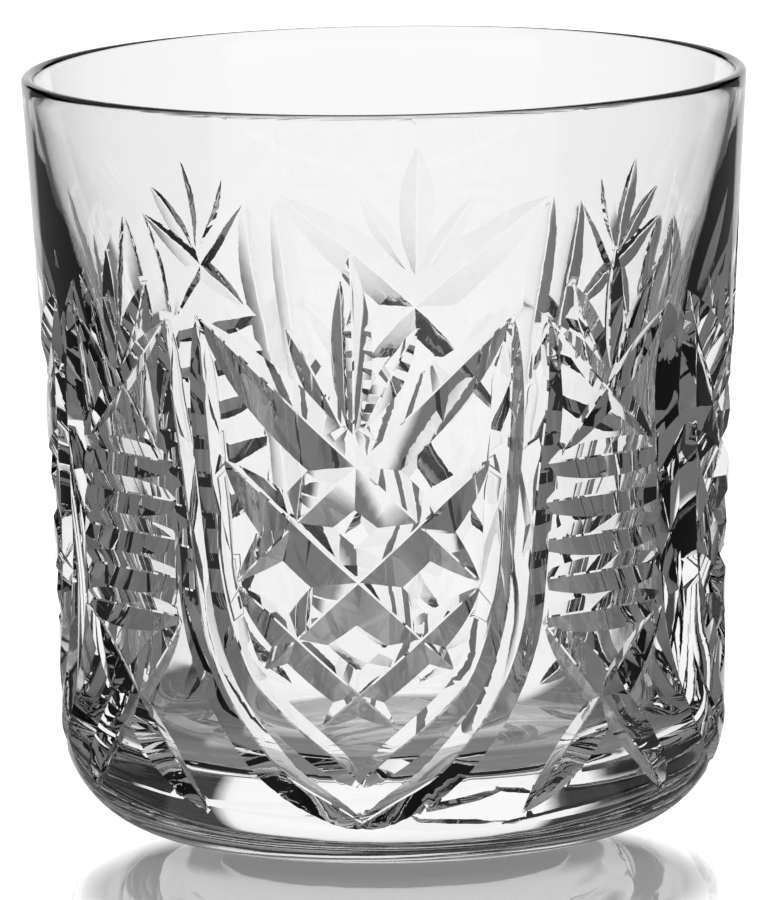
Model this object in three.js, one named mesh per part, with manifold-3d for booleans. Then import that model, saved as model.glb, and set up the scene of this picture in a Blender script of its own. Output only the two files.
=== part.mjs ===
import * as THREE from "three";
import { mergeVertices } from "three/addons/utils/BufferGeometryUtils.js";
import Module from "manifold-3d";

// Lowball tumbler of clear cut crystal, one solid piece of glass.
// Millimetres, +Z up, resting on z = 0, axis on Z. The front shield faces -Y.

// The blank: the tumbler as it is before any cutting.
const HEIGHT = 88.4;
const RIM_RADIUS = 42.1;
const HEEL_RADIUS = 38.8; // outside radius where the heel round ends
const HEEL_ROUND = 13; // radius of the round between the wall and the foot
const FLARE_POWER = 1.5; // how late the wall starts to flare towards the rim
const LIP_THICKNESS = 1.5;
const WALL_THICKNESS = 8;
const WALL_TAPER = 59; // height below the rim over which the wall thins to the lip
const FLOOR_HEIGHT = 10.4; // thickness of the solid base
const FLOOR_ROUND = 7; // radius between the inside floor and the inside wall

// How finely the blank is faceted.
const SEGMENTS = 64;
const WALL_RINGS = 5;
const INSIDE_RINGS = 8;
const ROUND_RINGS = 5;
const LIP_RINGS = 4;

// The cutting wheels. A groove is a V that is deepest in the middle and runs out
// to a point at a free end. Angles are degrees round the glass from the middle
// of a motif, heights are above the table.
const REPEATS = 4; // shields round the glass, with a step column between each two
const CUT_ANGLE = 90; // included angle of every V
const CLEARANCE = 0.6; // how far a wheel's solid stands out of the surface
const RUN_OUT = 0.12; // how far a groove's bottom rises past its pointed end

// How late along its length a groove starts to rise to its ends.
const MITRE_POWER = 7;
const LATTICE_POWER = 3;
const LEAF_POWER = 2;

// Shield: two curved mitres down each side, which meet in points at the bottom.
// Each point of a line is [angle, height]. The wheel leans: at the top the flank
// towards the middle of the shield is the wide one, at the tip the other one.
const INNER_MITRE_DEPTH = 2;
const OUTER_MITRE_DEPTH = 2.4;
const MITRE_LEAN = { top: 12, tip: -5 };
const INNER_MITRE = [
  [26.3, 64.9], [27.2, 57.4], [26.8, 50], [26, 42.5], [25, 35],
  [22.6, 28], [18.4, 22], [10.5, 17], [3.6, 13.8], [-0.8, 11.1],
];
const OUTER_MITRE = [
  [32.4, 64.8], [34.4, 55.4], [33, 46], [31.4, 36.5], [29.4, 27.5],
  [23.7, 19.2], [14.5, 12.1], [5.5, 8.3], [-0.8, 6.1],
];

// Shield: straight mitres that cross in a lattice of diamonds and run out at the
// edges of the inner curved mitres. Each is given by its height on the middle of
// the shield and its rise per degree there. The highest runs up to the mitre's top.
const LATTICE = [
  { height: 47.8, rise: 0.59, depth: 3.5 },
  { height: 34.4, rise: 0.575, depth: 3.5 },
  { height: 21.6, rise: 0.55, depth: 2.2 },
];
const LATTICE_STEEPEN = 0.0025; // how much the rise per degree grows with each degree

// Shield: fan of three leaves over the lattice.
const FAN_BASE = 50;
const FAN_TIPS = [[-10.8, 64.4], [0, 72.8], [10.8, 64.4]];
const FAN_DEPTH = 1.5;
const FAN_MIDDLE_DEPTH = 2.3;

// Column: level grooves one above the other.
const STEPS = 5;
const STEP_TOP = 47.5;
const STEP_PITCH = 4.45;
const STEP_HALF_ANGLE = 12.2;
const STEP_DEPTH = 2.1;

// Column: a cross of two grooves above the steps and one below them.
const UPPER_CROSS = { height: 55.4, rise: 0.7, up: 12.6, down: 10.6, depth: 1.6, power: 2 };
const LOWER_CROSS = { height: 19.5, rise: 0.75, up: 13.2, down: 16.6, depth: 2.3, power: 4 };

// Column: fan of three leaves over the upper cross.
const COLUMN_FAN_BASE = 56.4;
const COLUMN_FAN_TIPS = [[-8.6, 68.4], [0, 72], [8.6, 68.4]];
const COLUMN_FAN_DEPTH = 1.3;

// How many cross-sections each sort of groove is faceted with along its length.
const SECTION_COUNT = { mitre: 13, lattice: 8, leaf: 6, step: 5, cross: 7 };
const SLIVER = 0.005; // details finer than this are closed up after the cutting

const wasm = await Module();
wasm.setup();

// A geometry as a solid, with its doubled vertices joined and its empty faces dropped.
function solidOf(geometry) {
  const bare = new THREE.BufferGeometry();
  bare.setAttribute("position", geometry.getAttribute("position"));
  bare.setIndex(geometry.getIndex());
  const merged = mergeVertices(bare, 1e-4);
  const from = merged.index.array;
  const triVerts = [];
  for (let i = 0; i < from.length; i += 3) {
    const [a, b, c] = [from[i], from[i + 1], from[i + 2]];
    if (a !== b && b !== c && a !== c) {
      triVerts.push(a, b, c);
    }
  }
  return new wasm.Manifold(new wasm.Mesh({
    numProp: 3,
    vertProperties: merged.attributes.position.array,
    triVerts: new Uint32Array(triVerts),
  }));
}

// Outside radius of the blank at a height: the heel round, then the flaring wall.
function outsideRadius(z) {
  if (z < HEEL_ROUND) {
    const drop = HEEL_ROUND - Math.max(z, 0);
    return HEEL_RADIUS - HEEL_ROUND + Math.sqrt(HEEL_ROUND ** 2 - drop ** 2);
  }
  const t = (z - HEEL_ROUND) / (HEIGHT - HEEL_ROUND);
  return HEEL_RADIUS + (RIM_RADIUS - HEEL_RADIUS) * t ** FLARE_POWER;
}

function wallThickness(z) {
  const t = Math.min(1, Math.max(0, (HEIGHT - z) / WALL_TAPER));
  return LIP_THICKNESS + (WALL_THICKNESS - LIP_THICKNESS) * Math.sin(t * Math.PI / 2) ** 2;
}

function insideRadius(z) {
  return outsideRadius(z) - wallThickness(z);
}

// Half section of the blank, from the middle of the foot round the outside,
// over the lip and down the inside to the middle of the floor.
function blankProfile() {
  const points = [new THREE.Vector2(0, 0)];
  for (let i = 0; i <= ROUND_RINGS; i++) {
    const a = i / ROUND_RINGS * Math.PI / 2;
    const r = HEEL_RADIUS - HEEL_ROUND + HEEL_ROUND * Math.sin(a);
    points.push(new THREE.Vector2(r, HEEL_ROUND * (1 - Math.cos(a))));
  }
  const lip = LIP_THICKNESS / 2;
  const lipFoot = HEIGHT - lip;
  for (let i = 1; i <= WALL_RINGS; i++) {
    const z = HEEL_ROUND + (lipFoot - HEEL_ROUND) * i / WALL_RINGS;
    points.push(new THREE.Vector2(outsideRadius(z), z));
  }
  const lipMiddle = (outsideRadius(lipFoot) + insideRadius(lipFoot)) / 2;
  const lipReach = (outsideRadius(lipFoot) - insideRadius(lipFoot)) / 2;
  for (let i = 1; i < LIP_RINGS; i++) {
    const a = i / LIP_RINGS * Math.PI;
    points.push(new THREE.Vector2(lipMiddle + lipReach * Math.cos(a), lipFoot + lip * Math.sin(a)));
  }
  const cornerTop = FLOOR_HEIGHT + FLOOR_ROUND;
  for (let i = 0; i < INSIDE_RINGS; i++) {
    const z = lipFoot + (cornerTop - lipFoot) * i / INSIDE_RINGS;
    points.push(new THREE.Vector2(insideRadius(z), z));
  }
  const cornerMiddle = insideRadius(cornerTop) - FLOOR_ROUND;
  for (let i = 0; i <= ROUND_RINGS; i++) {
    const a = i / ROUND_RINGS * Math.PI / 2;
    const r = cornerMiddle + FLOOR_ROUND * Math.cos(a);
    points.push(new THREE.Vector2(r, cornerTop - FLOOR_ROUND * Math.sin(a)));
  }
  points.push(new THREE.Vector2(0, FLOOR_HEIGHT));
  return points;
}

// The blank's surface at [angle, height] of a motif whose middle is turned to
// "middle" degrees: the point on it and the direction out of the glass.
function surfaceAt([angle, z], middle) {
  const a = THREE.MathUtils.degToRad(middle + angle - 90);
  const r = outsideRadius(z);
  const slope = (outsideRadius(z + 0.05) - outsideRadius(z - 0.05)) / 0.1;
  return {
    point: new THREE.Vector3(r * Math.cos(a), r * Math.sin(a), z),
    normal: new THREE.Vector3(Math.cos(a), Math.sin(a), -slope).normalize(),
  };
}

// The solid that one pass of the wheel takes away. "line" gives [angle, height]
// for u from 0 to 1; the bottom is at "depth" in the middle and rises to "end" at
// both ends, later with a higher power. "lean" turns the V about its line, in
// degrees for u.
function groove(line, middle, sections, depth, end, power, lean = () => 0) {
  const half = THREE.MathUtils.degToRad(CUT_ANGLE / 2);
  const ring = [];
  for (let i = 0; i < sections; i++) {
    const u = i / (sections - 1);
    const here = surfaceAt(line(u), middle);
    const before = surfaceAt(line(Math.max(0, u - 0.01)), middle);
    const after = surfaceAt(line(Math.min(1, u + 0.01)), middle);
    const along = after.point.clone().sub(before.point).normalize();
    const tilt = THREE.MathUtils.degToRad(lean(u));
    const axis = here.normal.clone().applyAxisAngle(along, tilt);
    const across = axis.clone().cross(along).normalize();
    const down = depth - (depth - end) * Math.abs(2 * u - 1) ** power;
    const flank = (down + CLEARANCE) / Math.cos(half + Math.abs(tilt));
    const bottom = here.point.clone().addScaledVector(here.normal, -down);
    const top = bottom.clone().addScaledVector(axis, flank * Math.cos(half));
    ring.push(
      bottom,
      top.clone().addScaledVector(across, -flank * Math.sin(half)),
      top.clone().addScaledVector(across, flank * Math.sin(half)),
    );
  }
  const index = [0, 2, 1];
  for (let i = 0; i + 1 < sections; i++) {
    for (let j = 0; j < 3; j++) {
      const [a, b] = [3 * i + j, 3 * i + (j + 1) % 3];
      index.push(a, b, b + 3, a, b + 3, a + 3);
    }
  }
  const last = 3 * (sections - 1);
  index.push(last, last + 1, last + 2);
  const geometry = new THREE.BufferGeometry().setFromPoints(ring);
  geometry.setIndex(index);
  const solid = solidOf(geometry);
  if (solid.volume() > 0) {
    return solid;
  }
  geometry.setIndex(index.reverse());
  return solidOf(geometry);
}

const straight = (from, to) => (u) => [
  from[0] + (to[0] - from[0]) * u,
  from[1] + (to[1] - from[1]) * u,
];

// A smooth line through points, on the given side of the motif's middle.
function curved(points, side) {
  const curve = new THREE.SplineCurve(points.map(([a, z]) => new THREE.Vector2(side * a, z)));
  return (u) => curve.getPoint(u).toArray();
}

// Height of a lattice line at an angle that counts up on its rising side.
function latticeHeight({ height, rise }, angle) {
  return height + (rise + LATTICE_STEEPEN * Math.abs(angle)) * angle;
}

// The angle at which a lattice line reaches the edge of the inner curved mitre: on
// its rising side when "slope" is 1, on its falling side when it is -1.
function latticeEnd(line, slope) {
  const curve = curved(INNER_MITRE, 1);
  const steps = 200;
  const mmPerDegree = THREE.MathUtils.degToRad(HEEL_RADIUS);
  const reach = INNER_MITRE_DEPTH * Math.tan(THREE.MathUtils.degToRad((CUT_ANGLE + MITRE_LEAN.top) / 2));
  let angle = 0;
  let gap = Infinity;
  while (gap > reach && angle < INNER_MITRE[0][0]) {
    angle += 0.05;
    gap = Infinity;
    for (let i = 0; i <= steps; i++) {
      const [a, z] = curve(i / steps);
      gap = Math.min(gap, Math.hypot((a - angle) * mmPerDegree, z - latticeHeight(line, slope * angle)));
    }
  }
  return angle;
}

function shieldCuts(middle) {
  const cuts = [];
  const { top, tip } = MITRE_LEAN;
  for (const side of [-1, 1]) {
    const lean = (u) => side * (top + (tip - top) * u ** 2);
    for (const [mitre, depth] of [[INNER_MITRE, INNER_MITRE_DEPTH], [OUTER_MITRE, OUTER_MITRE_DEPTH]]) {
      const line = curved(mitre, side);
      cuts.push(groove(line, middle, SECTION_COUNT.mitre, depth, -RUN_OUT, MITRE_POWER, lean));
    }
    for (const [i, line] of LATTICE.entries()) {
      const high = i === 0 ? INNER_MITRE[0][0] : latticeEnd(line, 1);
      const low = latticeEnd(line, -1);
      const path = (u) => {
        const angle = high - (high + low) * u;
        return [-side * angle, latticeHeight(line, angle)];
      };
      cuts.push(groove(path, middle, SECTION_COUNT.lattice, line.depth, -RUN_OUT, LATTICE_POWER));
    }
  }
  for (const tip of FAN_TIPS) {
    const depth = tip[0] === 0 ? FAN_MIDDLE_DEPTH : FAN_DEPTH;
    const line = straight([0, FAN_BASE], tip);
    cuts.push(groove(line, middle, SECTION_COUNT.leaf, depth, -RUN_OUT, LEAF_POWER));
  }
  return cuts;
}

function columnCuts(middle) {
  const cuts = [];
  for (let i = 0; i < STEPS; i++) {
    const z = STEP_TOP - STEP_PITCH * i;
    const line = straight([-STEP_HALF_ANGLE, z], [STEP_HALF_ANGLE, z]);
    cuts.push(groove(line, middle, SECTION_COUNT.step, STEP_DEPTH, STEP_DEPTH / 2, LEAF_POWER));
  }
  for (const { height, rise, up, down, depth, power } of [UPPER_CROSS, LOWER_CROSS]) {
    for (const side of [-1, 1]) {
      const line = straight([side * up, height + rise * up], [-side * down, height - rise * down]);
      cuts.push(groove(line, middle, SECTION_COUNT.cross, depth, -RUN_OUT, power));
    }
  }
  for (const tip of COLUMN_FAN_TIPS) {
    const line = straight([0, COLUMN_FAN_BASE], tip);
    cuts.push(groove(line, middle, SECTION_COUNT.leaf, COLUMN_FAN_DEPTH, -RUN_OUT, LEAF_POWER));
  }
  return cuts;
}

// A lathe turns round Y, so the blank is stood up on Z.
let glass = solidOf(new THREE.LatheGeometry(blankProfile(), SEGMENTS).rotateX(Math.PI / 2));
for (let i = 0; i < REPEATS; i++) {
  const turn = 360 / REPEATS * i;
  for (const cut of [...shieldCuts(turn), ...columnCuts(turn + 180 / REPEATS)]) {
    glass = glass.subtract(cut);
  }
}

const made = glass.asOriginal().simplify(SLIVER).getMesh();
const geometry = new THREE.BufferGeometry();
geometry.setAttribute("position", new THREE.BufferAttribute(made.vertProperties, 3));
geometry.setIndex(new THREE.BufferAttribute(made.triVerts, 1));
geometry.computeVertexNormals();

const crystal = new THREE.MeshStandardMaterial({ name: "crystal", color: 0xf4f7f7, metalness: 0, roughness: 0.02 });
const tumbler = new THREE.Mesh(geometry, crystal);
tumbler.name = "tumbler";

const part = new THREE.Group();
part.name = "lowball_glass";
part.add(tumbler);

export default part;
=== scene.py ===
import math

import bpy
from mathutils import Euler, Matrix, Quaternion, Vector


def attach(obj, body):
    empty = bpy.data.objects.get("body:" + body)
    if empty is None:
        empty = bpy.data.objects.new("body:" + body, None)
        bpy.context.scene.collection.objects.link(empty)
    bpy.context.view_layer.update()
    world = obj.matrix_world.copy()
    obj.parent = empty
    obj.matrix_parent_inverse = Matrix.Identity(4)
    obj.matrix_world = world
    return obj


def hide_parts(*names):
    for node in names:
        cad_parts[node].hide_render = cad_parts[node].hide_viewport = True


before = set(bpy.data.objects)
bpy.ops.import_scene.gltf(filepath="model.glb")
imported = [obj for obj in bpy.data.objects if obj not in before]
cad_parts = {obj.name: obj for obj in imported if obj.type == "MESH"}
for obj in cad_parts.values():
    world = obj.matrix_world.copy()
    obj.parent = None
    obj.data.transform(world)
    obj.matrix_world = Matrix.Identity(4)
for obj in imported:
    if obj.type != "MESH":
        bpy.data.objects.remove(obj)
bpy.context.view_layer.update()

# Camera: a long lens that looks down by about nine degrees, from a few degrees to
# the right of the front shield, held a little out of level as in the photograph.
# Distances are in metres, angles in radians and the sensor in millimetres.
CAMERA_AWAY = 1.2
CAMERA_HEIGHT = 0.23913
CAMERA_TURN = math.radians(5.8)
CAMERA_DOWN = 0.161489
CAMERA_ROLL = -0.0152
# The focal length and the picture's longer side, in the photograph's pixels.
LENS_PIXELS = 10431.8
PICTURE_PIXELS = 900
AIM_LEFT_PIXELS = 5.45
SENSOR_WIDTH = 36
NEAREST_SEEN, FARTHEST_SEEN = 0.05, 50

camera_data = bpy.data.cameras.new("camera")
camera_data.sensor_width = SENSOR_WIDTH
camera_data.lens = LENS_PIXELS * SENSOR_WIDTH / PICTURE_PIXELS
camera_data.clip_start = NEAREST_SEEN
camera_data.clip_end = FARTHEST_SEEN
camera = bpy.data.objects.new("camera", camera_data)
bpy.context.collection.objects.link(camera)
heading = CAMERA_TURN + AIM_LEFT_PIXELS / LENS_PIXELS
turned = Euler((math.pi / 2 - CAMERA_DOWN, 0, heading), "XYZ").to_matrix().to_4x4()
place = Vector((CAMERA_AWAY * math.sin(CAMERA_TURN), -CAMERA_AWAY * math.cos(CAMERA_TURN), CAMERA_HEIGHT))
camera.matrix_world = Matrix.Translation(place) @ turned @ Matrix.Rotation(CAMERA_ROLL, 4, "Z")
bpy.context.scene.camera = camera

# Tumbler, the blank: one gather of clear lead crystal blown in a turned mould.
# Thick wall and base for deep cutting, thin fire-polished lip, round heel,
# flat ground foot. All sizes are in metres.
MM = 0.001
HEIGHT = 88.4 * MM
RIM_RADIUS = 42.1 * MM
HEEL_RADIUS = 38.8 * MM
HEEL_ROUND = 13 * MM
FLARE_POWER = 1.5
LIP_THICKNESS = 1.5 * MM
WALL_THICKNESS = 8 * MM
WALL_TAPER = 59 * MM
FLOOR_HEIGHT = 10.4 * MM
FLOOR_ROUND = 7 * MM
FOOT_RINGS = [0 * MM, 9 * MM, 18 * MM]
FLOOR_RINGS = [14 * MM, 7 * MM, 0 * MM]
HEEL_STEPS, WALL_STEPS, LIP_STEPS, INSIDE_STEPS, CORNER_STEPS = 18, 60, 12, 50, 14
SPIN_STEPS = 256
SEAM_GAP = 1e-6


def outside_radius(z):
    if z < HEEL_ROUND:
        drop = HEEL_ROUND - max(z, 0)
        return HEEL_RADIUS - HEEL_ROUND + math.sqrt(HEEL_ROUND**2 - drop**2)
    share = (z - HEEL_ROUND) / (HEIGHT - HEEL_ROUND)
    return HEEL_RADIUS + (RIM_RADIUS - HEEL_RADIUS) * share ** FLARE_POWER


def inside_radius(z):
    grown = math.sin(min(1, max(0, (HEIGHT - z) / WALL_TAPER)) * math.pi / 2) ** 2
    return outside_radius(z) - LIP_THICKNESS - (WALL_THICKNESS - LIP_THICKNESS) * grown


half_section = [(r, 0) for r in FOOT_RINGS]
for i in range(HEEL_STEPS + 1):
    a = i / HEEL_STEPS * math.pi / 2
    half_section.append((HEEL_RADIUS - HEEL_ROUND * (1 - math.sin(a)), HEEL_ROUND * (1 - math.cos(a))))
lip_height = LIP_THICKNESS / 2
lip_foot = HEIGHT - lip_height
for i in range(1, WALL_STEPS + 1):
    z = HEEL_ROUND + (lip_foot - HEEL_ROUND) * i / WALL_STEPS
    half_section.append((outside_radius(z), z))
lip_reach = (outside_radius(lip_foot) - inside_radius(lip_foot)) / 2
for i in range(1, LIP_STEPS):
    a = i / LIP_STEPS * math.pi
    r = outside_radius(lip_foot) - lip_reach * (1 - math.cos(a))
    half_section.append((r, lip_foot + lip_height * math.sin(a)))
corner_top = FLOOR_HEIGHT + FLOOR_ROUND
for i in range(INSIDE_STEPS):
    z = lip_foot + (corner_top - lip_foot) * i / INSIDE_STEPS
    half_section.append((inside_radius(z), z))
for i in range(CORNER_STEPS + 1):
    a = i / CORNER_STEPS * math.pi / 2
    r = inside_radius(corner_top) - FLOOR_ROUND * (1 - math.cos(a))
    half_section.append((r, corner_top - FLOOR_ROUND * math.sin(a)))
half_section += [(r, FLOOR_HEIGHT) for r in FLOOR_RINGS]

# The half section is drawn point by point from one vertex, then spun.
bpy.ops.object.select_all(action="DESELECT")
bpy.ops.mesh.primitive_plane_add(size=MM)
glass = bpy.context.object
glass.name = "cut_tumbler"
bpy.ops.object.mode_set(mode="EDIT")
bpy.ops.mesh.merge(type="CENTER")
for (r0, z0), (r1, z1) in zip(half_section, half_section[1:]):
    bpy.ops.mesh.extrude_region_move(TRANSFORM_OT_translate={"value": (r1 - r0, 0, z1 - z0)})
bpy.ops.mesh.select_all(action="SELECT")
bpy.ops.mesh.spin(steps=SPIN_STEPS, angle=2 * math.pi, center=(0, 0, 0), axis=(0, 0, 1))
bpy.ops.mesh.select_all(action="SELECT")
bpy.ops.mesh.remove_doubles(threshold=SEAM_GAP)
bpy.ops.mesh.normals_make_consistent(inside=False)
bpy.ops.object.mode_set(mode="OBJECT")

# Tumbler, the wheel: a stone wheel with a blunt V-shaped rim, whose tip leaves a
# flat a quarter of a millimetre wide. One straight bar stands for what it takes
# away in a pass, and each pass lays a copy of the bar along its line.
CUT_ANGLE = math.radians(118)
TIP_HALF = 0.12 * MM
CLEARANCE = 0.6 * MM
BAR_CORNERS = 4
SECTIONS = 33
QUARTERS = 4
SLOPE_STEP = 0.05 * MM
LINE_STEP = 0.01
# Angles round the glass count from its front, which lies at this angle from X.
FRONT = -90

bpy.ops.object.select_all(action="DESELECT")
bpy.ops.mesh.primitive_circle_add(vertices=BAR_CORNERS, radius=1, fill_type="NGON")
wheel_bar = bpy.context.object
wheel_bar.name = "wheel_bar"
bpy.ops.object.mode_set(mode="EDIT")
for i in range(SECTIONS - 1):
    bpy.ops.mesh.extrude_region_move(TRANSFORM_OT_translate={"value": (0, 0, 1)})
bpy.ops.mesh.select_all(action="SELECT")
bpy.ops.mesh.normals_make_consistent(inside=False)
bpy.ops.object.mode_set(mode="OBJECT")


# The point of the blank at an angle and a height, and the way out of its surface.
def surface_at(spot, middle):
    angle, z = math.radians(spot[0] + middle + FRONT), spot[1] * MM
    slope = (outside_radius(z + SLOPE_STEP) - outside_radius(z - SLOPE_STEP)) / (2 * SLOPE_STEP)
    r = outside_radius(z)
    out = Vector((math.cos(angle), math.sin(angle), -slope)).normalized()
    return Vector((r * math.cos(angle), r * math.sin(angle), z)), out


# Lays a bar along a line. It is deepest half way and reaches the depth called end
# at both ends; a higher power keeps the full depth for more of the way.
def lay_bar(line, middle, depth, end, power, lean=lambda u: 0):
    piece = wheel_bar.copy()
    piece.data = wheel_bar.data.copy()
    bpy.context.collection.objects.link(piece)
    places = []
    for i in range(SECTIONS):
        u = i / (SECTIONS - 1)
        point, out = surface_at(line(u), middle)
        before = surface_at(line(max(0, u - LINE_STEP)), middle)[0]
        after = surface_at(line(min(1, u + LINE_STEP)), middle)[0]
        along = after - before
        tilt = math.radians(lean(u))
        axis = Quaternion(along.normalized(), tilt) @ out
        across = axis.cross(along).normalized()
        down = (depth - (depth - end) * abs(2 * u - 1) ** power) * MM
        flank = (down + CLEARANCE) / math.cos(CUT_ANGLE / 2 + abs(tilt))
        bottom = point - out * down
        top = bottom + axis * flank * math.cos(CUT_ANGLE / 2)
        wide = TIP_HALF + flank * math.sin(CUT_ANGLE / 2)
        places.append([
            top + across * wide,
            top - across * wide,
            bottom - across * TIP_HALF,
            bottom + across * TIP_HALF,
        ])
    for vertex in piece.data.vertices:
        turn = math.atan2(vertex.co.y, vertex.co.x) / (2 * math.pi)
        corner = round(turn * BAR_CORNERS) % BAR_CORNERS
        vertex.co = places[round(vertex.co.z)][corner]
    return piece


# Makes the same passes in each quarter of the glass.
def cut(passes, middle):
    bpy.ops.object.select_all(action="DESELECT")
    turns = [middle + 360 / QUARTERS * quarter for quarter in range(QUARTERS)]
    bars = [lay_bar(line, turn, *how) for turn in turns for line, *how in passes]
    for bar in bars:
        bar.select_set(True)
    bpy.context.view_layer.objects.active = bars[0]
    bpy.ops.object.join()
    bpy.ops.object.mode_set(mode="EDIT")
    bpy.ops.mesh.select_all(action="SELECT")
    bpy.ops.mesh.normals_make_consistent(inside=False)
    bpy.ops.object.mode_set(mode="OBJECT")
    bars = bpy.context.object
    bpy.ops.object.select_all(action="DESELECT")
    glass.select_set(True)
    bpy.context.view_layer.objects.active = glass
    taken = glass.modifiers.new("cut", "BOOLEAN")
    taken.operation = "DIFFERENCE"
    taken.solver = "MANIFOLD"
    taken.object = bars
    bpy.ops.object.modifier_apply(modifier=taken.name)
    bpy.data.objects.remove(bars)


def straight(start, end):
    return lambda u: (start[0] + (end[0] - start[0]) * u, start[1] + (end[1] - start[1]) * u)


# A smooth line through all the points.
def curved(points, side):
    def at(u):
        i = min(int(u * (len(points) - 1)), len(points) - 2)
        t = u * (len(points) - 1) - i
        before, here, there, after = (points[min(max(i + k, 0), len(points) - 1)] for k in (-1, 0, 1, 2))
        spot = []
        for a, b, c, d in zip(before, here, there, after):
            v, w = (c - a) / 2, (d - b) / 2
            spot.append((2 * b - 2 * c + v + w) * t**3 + (-3 * b + 3 * c - 2 * v - w) * t**2 + v * t + b)
        return side * spot[0], spot[1]
    return at


# Tumbler, the shields: two curved mitres down each side to a point, three
# straight mitres each way crossing in diamonds between them, and a fan of
# three leaves over the lattice. Angles in degrees, heights and depths in mm.
SHIELD_MIDDLE = 0
# A groove runs out to nothing: at its ends the wheel is this far clear of the glass.
RUN_OUT = -0.12
INNER_DEPTH, OUTER_DEPTH = 1.1, 1.3
TOP_LEAN, TIP_LEAN = 10, -5
MITRE_POWER, LATTICE_POWER, LEAF_POWER = 7, 3, 2
INNER_MITRE = [(26.3, 64.9), (26.5, 57.4), (26.1, 50), (25.3, 42.5), (24.4, 35),
               (22, 28), (17.9, 22), (10.2, 17.2), (3.6, 13.8), (-0.8, 11.1)]
OUTER_MITRE = [(32.4, 64.7), (33.2, 55.4), (31.8, 46), (30.2, 36.5), (28.4, 27.6),
               (22.9, 19.4), (14, 12.4), (5.4, 8.5), (-0.8, 6.1)]
# Height, rise for each degree and depth.
LATTICE = [(47.8, 0.59, 2.1), (34.4, 0.575, 2.1), (21.6, 0.55, 1.4)]
STEEPEN = 0.0025
LATTICE_SEARCH = 0.05
MITRE_SAMPLES = 200
FAN_BASE = 50
# Angle, height and depth of each tip.
FAN = [(-10.8, 64.4, 0.9), (0, 72.8, 1.4), (10.8, 64.4, 0.9)]


def lattice_height(height, rise, angle):
    return height + (rise + STEEPEN * abs(angle)) * angle


# The angle at which a lattice groove meets the flank of the inner mitre.
def lattice_end(height, rise, slope):
    mitre = [curved(INNER_MITRE, 1)(i / MITRE_SAMPLES) for i in range(MITRE_SAMPLES + 1)]
    mm_per_degree = math.radians(HEEL_RADIUS / MM)
    reach = INNER_DEPTH * math.tan(CUT_ANGLE / 2 + math.radians(TOP_LEAN / 2))
    angle, gap = 0, reach + 1
    while gap > reach and angle < INNER_MITRE[0][0]:
        angle += LATTICE_SEARCH
        z = lattice_height(height, rise, slope * angle)
        gap = min(math.hypot((a - angle) * mm_per_degree, h - z) for a, h in mitre)
    return angle


def lattice_line(height, rise, high, low, side):
    def at(u):
        angle = high - (high + low) * u
        return -side * angle, lattice_height(height, rise, angle)
    return at


for side in (-1, 1):
    lean = lambda u: side * (TOP_LEAN + (TIP_LEAN - TOP_LEAN) * u**2)
    cut([(curved(INNER_MITRE, side), INNER_DEPTH, RUN_OUT, MITRE_POWER, lean)], SHIELD_MIDDLE)
    cut([(curved(OUTER_MITRE, side), OUTER_DEPTH, RUN_OUT, MITRE_POWER, lean)], SHIELD_MIDDLE)
    passes = []
    for i, (height, rise, depth) in enumerate(LATTICE):
        high = INNER_MITRE[0][0] if i == 0 else lattice_end(height, rise, 1)
        low = lattice_end(height, rise, -1)
        line = lattice_line(height, rise, high, low, side)
        passes.append((line, depth, RUN_OUT, LATTICE_POWER))
    cut(passes, SHIELD_MIDDLE)
for angle, z, depth in FAN:
    cut([(straight((0, FAN_BASE), (angle, z)), depth, RUN_OUT, LEAF_POWER)], SHIELD_MIDDLE)

# Tumbler, the columns between the shields: five level grooves side by side, a
# cross of two grooves above them, a longer cross below, and a fan over the upper
# cross. Every second level groove is cut first, then the ones between.
COLUMN_MIDDLE = 45
STEP_TOP, STEP_PITCH, STEP_HALF_ANGLE, STEP_DEPTH = 47.5, 4.45, 12.2, 1.3
# Height, rise for each degree, reach up, reach down, depth and power.
CROSSES = [(55.4, 0.7, 12.6, 10.6, 1, 2), (19.5, 0.75, 13.2, 16.6, 1.4, 4)]
COLUMN_FAN_BASE, COLUMN_FAN_DEPTH = 56.4, 0.8
COLUMN_FAN_TIPS = [(-8.6, 68.4), (0, 72), (8.6, 68.4)]

for rows in ((0, 2, 4), (1, 3)):
    passes = []
    for row in rows:
        z = STEP_TOP - STEP_PITCH * row
        line = straight((-STEP_HALF_ANGLE, z), (STEP_HALF_ANGLE, z))
        passes.append((line, STEP_DEPTH, STEP_DEPTH / 2, LEAF_POWER))
    cut(passes, COLUMN_MIDDLE)
for side in (-1, 1):
    passes = []
    for height, rise, up, down, depth, power in CROSSES:
        line = straight((side * up, height + rise * up), (-side * down, height - rise * down))
        passes.append((line, depth, RUN_OUT, power))
    cut(passes, COLUMN_MIDDLE)
for tip in COLUMN_FAN_TIPS:
    line = straight((0, COLUMN_FAN_BASE), tip)
    cut([(line, COLUMN_FAN_DEPTH, RUN_OUT, LEAF_POWER)], COLUMN_MIDDLE)

# The edges of the cuts stay sharp, and the rounds of the blank are smooth.
SHARPEST_ROUND = math.radians(28)
bpy.data.objects.remove(wheel_bar)
bpy.ops.object.select_all(action="DESELECT")
glass.select_set(True)
bpy.context.view_layer.objects.active = glass
bpy.ops.object.shade_smooth_by_angle(angle=SHARPEST_ROUND)


# Tumbler, the material: clear lead crystal, cut and then polished bright in
# acid. It bends light more than window glass does, so the eye sees each facet as
# a clean patch of bright or dark.
def srgb(code):
    shares = [int(code[i:i + 2], 16) / 255 for i in (1, 3, 5)]
    return [c / 12.92 if c <= 0.04045 else ((c + 0.055) / 1.055) ** 2.4 for c in shares] + [1]


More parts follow.
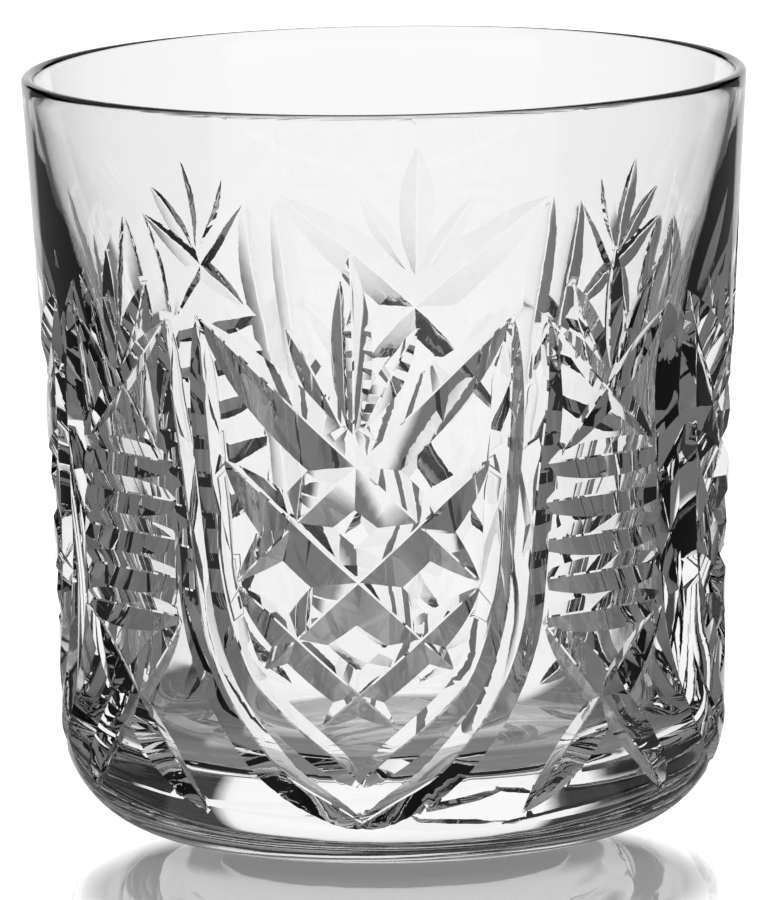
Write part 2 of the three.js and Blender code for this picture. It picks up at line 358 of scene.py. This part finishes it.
# A setting or a link names its socket, or numbers it where names repeat.
def add_node(tree, kind, settings=None, links=None):
    made = tree.nodes.new(kind)
    for name, value in (settings or {}).items():
        if isinstance(name, int) or name in made.inputs:
            made.inputs[name].default_value = value
        else:
            setattr(made, name, value)
    for name, source in (links or {}).items():
        tree.links.new(source, made.inputs[name])
    return made


BLOWN_WAVE, BLOWN_HEIGHT = 7 * MM, 0.02 * MM
RIPPLE_WAVE, RIPPLE_HEIGHT = 1.4 * MM, 0.0015 * MM
BLOOM_WIDTH = 9 * MM
BLOOM_START, BLOOM_FULL = 0.5, 0.8
BLOOM_ROUGHNESS = 0.03
CRYSTAL_IOR = 1.545

crystal = bpy.data.materials.new("polished_lead_crystal")
crystal.use_nodes = True
tree = crystal.node_tree
tree.nodes.clear()
spot = add_node(tree, "ShaderNodeTexCoord").outputs["Object"]
# Slow waves left by blowing, fine ripple left by the acid, and a faint bloom.
# Their sizes are estimates, because the photograph doesn't show them singly.
slow = add_node(tree, "ShaderNodeTexNoise", {"Scale": 1 / BLOWN_WAVE, "Detail": 1.0}, {"Vector": spot})
fine = add_node(tree, "ShaderNodeTexNoise", {"Scale": 1 / RIPPLE_WAVE, "Detail": 2.0}, {"Vector": spot})
bloom = add_node(tree, "ShaderNodeTexNoise", {"Scale": 1 / BLOOM_WIDTH, "Detail": 3.0}, {"Vector": spot})
waved = add_node(tree, "ShaderNodeBump", {"Distance": BLOWN_HEIGHT}, {"Height": slow.outputs[0]})
rippled = add_node(tree, "ShaderNodeBump", {"Distance": RIPPLE_HEIGHT}, {
    "Height": fine.outputs[0],
    "Normal": waved.outputs["Normal"],
})
polish = add_node(tree, "ShaderNodeMapRange", {
    "From Min": BLOOM_START,
    "From Max": BLOOM_FULL,
    "To Min": 0.0,
    "To Max": BLOOM_ROUGHNESS,
}, {"Value": bloom.outputs[0]})
shader = add_node(tree, "ShaderNodeBsdfPrincipled", {
    "Base Color": srgb("#FFFFFF"),
    "IOR": CRYSTAL_IOR,
    "Transmission Weight": 1.0,
}, {"Roughness": polish.outputs["Result"], "Normal": rippled.outputs["Normal"]})
add_node(tree, "ShaderNodeOutputMaterial", links={"Surface": shader.outputs["BSDF"]})
glass.data.materials.clear()
glass.data.materials.append(crystal)
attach(glass, "root")
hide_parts("tumbler")

# Studio: bright field, the usual light for cut glass. A white card stands close
# behind the glass, with black felt at both sides of it, in a grey room. The
# camera itself sees white all round, the same white as the card.
WHITE, PALE, GREY, FELT = "#FFFFFF", "#C4C4C4", "#6C6C6C", "#1E1E1E"
OVERHEAD, CEILING = "#858585", "#E0E0E0"
# Card, felt and room are tones of the world by direction. Bearings are in degrees
# clockwise from straight behind the glass as the camera sees it.
CARD_LEFT, CARD_RIGHT = -21, 24
CARD_TOP_LEFT, CARD_TOP_RIGHT = -16, 12
FELT_END = 60
SPILL_LEFT, SPILL_RIGHT = -30, 28
FRONT_START = 125
SOFT_EDGE = 1.5
# Heights as the upward part of a direction, each with a soft edge: the foot of
# the felt, the top of the felt, the top of the card, the start of the ceiling.
FELT_FOOT, FELT_TOP, CARD_TOP, CEILING_EDGE = (0.03, 0.07), (0.33, 0.39), (0.5, 0.56), (0.82, 0.9)


# Tones all round. Each tone holds from its bearing to the next one.
def tone_ring(tree, parts, stops):
    turn = add_node(tree, "ShaderNodeMath", {"operation": "ARCTAN2"}, {
        0: parts.outputs["X"],
        1: parts.outputs["Y"],
    })
    share = add_node(tree, "ShaderNodeMapRange", {"From Min": -math.pi, "From Max": math.pi}, {
        "Value": turn.outputs["Value"],
    })
    ring = add_node(tree, "ShaderNodeValToRGB", links={"Fac": share.outputs["Result"]})
    spots = [(-180, stops[0][1])]
    for (_, before), (bearing, tone) in zip(stops, stops[1:]):
        middle = bearing - math.degrees(CAMERA_TURN)
        spots += [(middle - SOFT_EDGE, before), (middle + SOFT_EDGE, tone)]
    while len(ring.color_ramp.elements) < len(spots):
        ring.color_ramp.elements.new(0.5)
    for element, (bearing, tone) in zip(ring.color_ramp.elements, spots):
        element.position = (bearing + 180) / 360
        element.color = srgb(tone)
    return ring.outputs["Color"]


# Goes from one tone to another as a value goes across an edge.
def blend(tree, value, edge, first, second):
    start, end = edge
    share = add_node(tree, "ShaderNodeMapRange", {"From Min": start, "From Max": end}, {"Value": value})
    # Sockets 6 and 7 of the Mix node are its two colours.
    tones = {6: first, 7: second}
    plain = {socket: srgb(tone) for socket, tone in tones.items() if isinstance(tone, str)}
    made = {socket: tone for socket, tone in tones.items() if not isinstance(tone, str)}
    made["Factor"] = share.outputs["Result"]
    return add_node(tree, "ShaderNodeMix", {"data_type": "RGBA", **plain}, made).outputs[2]


at_card = [(-180, GREY), (-FELT_END, FELT), (CARD_LEFT, WHITE), (CARD_RIGHT, FELT), (FELT_END, GREY)]
at_card_top = [(-180, OVERHEAD), (CARD_TOP_LEFT, WHITE), (CARD_TOP_RIGHT, OVERHEAD)]
# Tones of the floor by bearing. On the floor they are painted light and shade: white where the card's light
# falls, grey at the sides, pale in front.
at_floor = [(-180, PALE), (-FRONT_START, GREY), (SPILL_LEFT, WHITE), (SPILL_RIGHT, GREY), (FRONT_START, PALE)]

world = bpy.data.worlds.new("studio")
bpy.context.scene.world = world
world.use_nodes = True
tree = world.node_tree
tree.nodes.clear()
toward = add_node(tree, "ShaderNodeTexCoord").outputs["Generated"]
parts = add_node(tree, "ShaderNodeSeparateXYZ", links={"Vector": toward})
up = parts.outputs["Z"]
tones = blend(tree, up, FELT_FOOT, tone_ring(tree, parts, at_floor), tone_ring(tree, parts, at_card))
tones = blend(tree, up, FELT_TOP, tones, tone_ring(tree, parts, at_card_top))
tones = blend(tree, up, CARD_TOP, tones, OVERHEAD)
tones = blend(tree, up, CEILING_EDGE, tones, CEILING)
# Only the camera sees white all round. Were the glass to see it too, its facets
# would be white all over.
seen = add_node(tree, "ShaderNodeLightPath").outputs["Is Camera Ray"]
tones = blend(tree, seen, (0, 1), tones, WHITE)
light = add_node(tree, "ShaderNodeBackground", {"Strength": 1.0}, {"Color": tones})
add_node(tree, "ShaderNodeOutputWorld", links={"Surface": light.outputs["Background"]})

# Floor: a sheet of gloss white acrylic, in which the eye sees the glass mirrored at
# this low angle. The shade in front of the glass is drawn in the material as a
# soft disc, because no lamp casts it.
FLOOR_SIZE = 12
# Air under the foot keeps the foot bright.
FOOT_GAP = 0.1 * MM
# What the glass sees, painted on the floor as glow: grey under the foot, a painted
# shade, and around it the tones of the room as painted light and shade; and close
# to the glass, at low angles, a mirror of card and felt.
PAINTED_SHADE_UNDER_GLASS, MIRROR_TONE = "#7C7C7C", "#FAFAFA"
FOOT_EDGE = (34 * MM, 40 * MM)
MIRROR_END = (100 * MM, 140 * MM)
LOW_ANGLE = (0.66, 0.82)
SHADE_AWAY, SHADE_INNER, SHADE_OUTER = 38 * MM, 33 * MM, 39 * MM
SHADED_GLOW, OPEN_GLOW = 0.12, 0.88
SHEET_TONE = "#F2F2F2"
ACRYLIC_IOR = 1.49
WIPE_WIDTH = 40 * MM
LEAST_HAZE, MOST_HAZE = 0.02, 0.045

bpy.ops.object.select_all(action="DESELECT")
bpy.ops.mesh.primitive_plane_add(size=FLOOR_SIZE, location=(0, 0, -FOOT_GAP))
floor = bpy.context.object
floor.name = "floor"
acrylic = bpy.data.materials.new("gloss_white_acrylic")
acrylic.use_nodes = True
tree = acrylic.node_tree
tree.nodes.clear()
spot = add_node(tree, "ShaderNodeTexCoord").outputs["Object"]
parts = add_node(tree, "ShaderNodeSeparateXYZ", links={"Vector": spot})
away = add_node(tree, "ShaderNodeVectorMath", {"operation": "LENGTH"}, {0: spot}).outputs["Value"]
# Painted shade: under the foot the floor glows a flat grey.
under = add_node(tree, "ShaderNodeEmission", {"Color": srgb(PAINTED_SHADE_UNDER_GLASS)})
# Painted light and shade: around the foot the floor glows in these tones, white where the card's light falls.
painted_floor_light = add_node(tree, "ShaderNodeEmission", links={"Color": tone_ring(tree, parts, at_floor)})
mirror = add_node(tree, "ShaderNodeBsdfGlossy", {"Color": srgb(MIRROR_TONE), "Roughness": 0.0})
facing = add_node(tree, "ShaderNodeLayerWeight").outputs["Facing"]
grazing = add_node(tree, "ShaderNodeMapRange", {"From Min": LOW_ANGLE[0], "From Max": LOW_ANGLE[1]}, {
    "Value": facing,
})
close = add_node(tree, "ShaderNodeMapRange", {
    "From Min": MIRROR_END[0],
    "From Max": MIRROR_END[1],
    "To Min": 1.0,
    "To Max": 0.0,
}, {"Value": away})
gloss = add_node(tree, "ShaderNodeMath", {"operation": "MULTIPLY"}, {
    0: grazing.outputs["Result"],
    1: close.outputs["Result"],
})
open_floor = add_node(tree, "ShaderNodeMixShader", links={
    "Fac": gloss.outputs["Value"],
    1: painted_floor_light.outputs["Emission"],
    2: mirror.outputs["BSDF"],
})
outside = add_node(tree, "ShaderNodeMapRange", {"From Min": FOOT_EDGE[0], "From Max": FOOT_EDGE[1]}, {
    "Value": away,
})
through = add_node(tree, "ShaderNodeMixShader", links={
    "Fac": outside.outputs["Result"],
    1: under.outputs["Emission"],
    2: open_floor.outputs["Shader"],
})

shade_middle = (SHADE_AWAY * math.sin(CAMERA_TURN), -SHADE_AWAY * math.cos(CAMERA_TURN), 0)
shaded = add_node(tree, "ShaderNodeVectorMath", {"operation": "DISTANCE", 1: shade_middle}, {0: spot})
glow = add_node(tree, "ShaderNodeMapRange", {
    "From Min": SHADE_INNER,
    "From Max": SHADE_OUTER,
    "To Min": SHADED_GLOW,
    "To Max": OPEN_GLOW,
}, {"Value": shaded.outputs["Value"]})
wiped = add_node(tree, "ShaderNodeTexNoise", {"Scale": 1 / WIPE_WIDTH, "Detail": 4.0}, {"Vector": spot})
haze = add_node(tree, "ShaderNodeMapRange", {"To Min": LEAST_HAZE, "To Max": MOST_HAZE}, {
    "Value": wiped.outputs[0],
})
sheet = add_node(tree, "ShaderNodeBsdfPrincipled", {
    "Base Color": srgb(SHEET_TONE),
    "IOR": ACRYLIC_IOR,
    "Emission Color": srgb(WHITE),
}, {"Roughness": haze.outputs["Result"], "Emission Strength": glow.outputs["Result"]})
seen = add_node(tree, "ShaderNodeLightPath").outputs["Is Camera Ray"]
either = add_node(tree, "ShaderNodeMixShader", links={
    "Fac": seen,
    1: through.outputs["Shader"],
    2: sheet.outputs["BSDF"],
})
add_node(tree, "ShaderNodeOutputMaterial", links={"Surface": either.outputs["Shader"]})
floor.data.materials.append(acrylic)

bpy.context.scene.view_settings.view_transform = "Standard"
